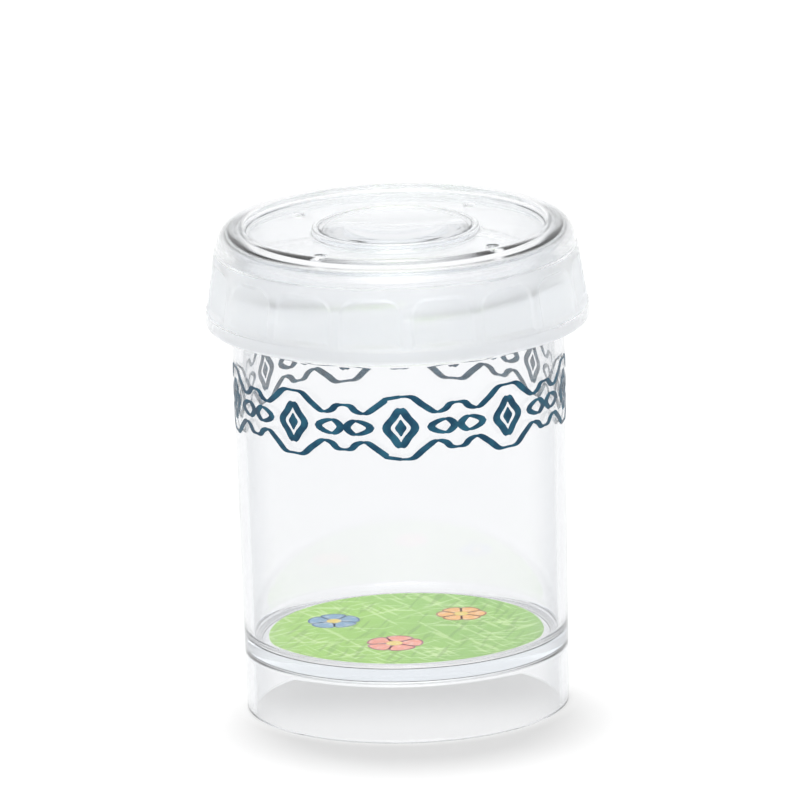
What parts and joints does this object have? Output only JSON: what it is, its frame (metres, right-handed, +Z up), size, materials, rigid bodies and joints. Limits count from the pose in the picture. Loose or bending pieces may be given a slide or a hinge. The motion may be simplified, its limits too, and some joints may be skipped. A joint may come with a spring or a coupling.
{
  "type": "bug catcher jar",
  "caption": "Clear plastic insect jar with a printed band, a picture label on its floor and a fluted screw lid with air holes and a magnifier.",
  "frame": {"origin": "centre of the circle that the jar's foot stands on", "axes": "+Z up along the jar's axis, -Y towards the front"},
  "size_m": [0.0786, 0.0786, 0.1019],
  "materials": {
    "clear_jar": "clear moulded plastic, polished",
    "clear_lid": "clear moulded plastic, polished",
    "clear_lens": "clear optical plastic, polished",
    "band_print": "clear film with a dark blue line print",
    "picture_label": "printed label, light green"
  },
  "bodies": {
    "jar": {"jar_body": "clear_jar", "printed_band": "band_print", "floor_disc": "picture_label"},
    "lens": {"magnifier_lens": "clear_lens"},
    "lid": {"lid": "clear_lid"}
  },
  "joints": [
    {"name": "lid_lift", "type": "slide", "parent": "jar", "child": "lens", "axis": [0, 0, 1], "range_m": [0, 0.028]},
    {"name": "lid_turn", "type": "hinge", "parent": "lens", "child": "lid", "pos_m": [0, 0, 0.09], "axis": [0, 0, 1], "range_deg": [0, 720]}
  ],
  "couplings": [
    {"joint": "lid_lift", "follows": "lid_turn", "m_per_rad": 0.002228}
  ]
}
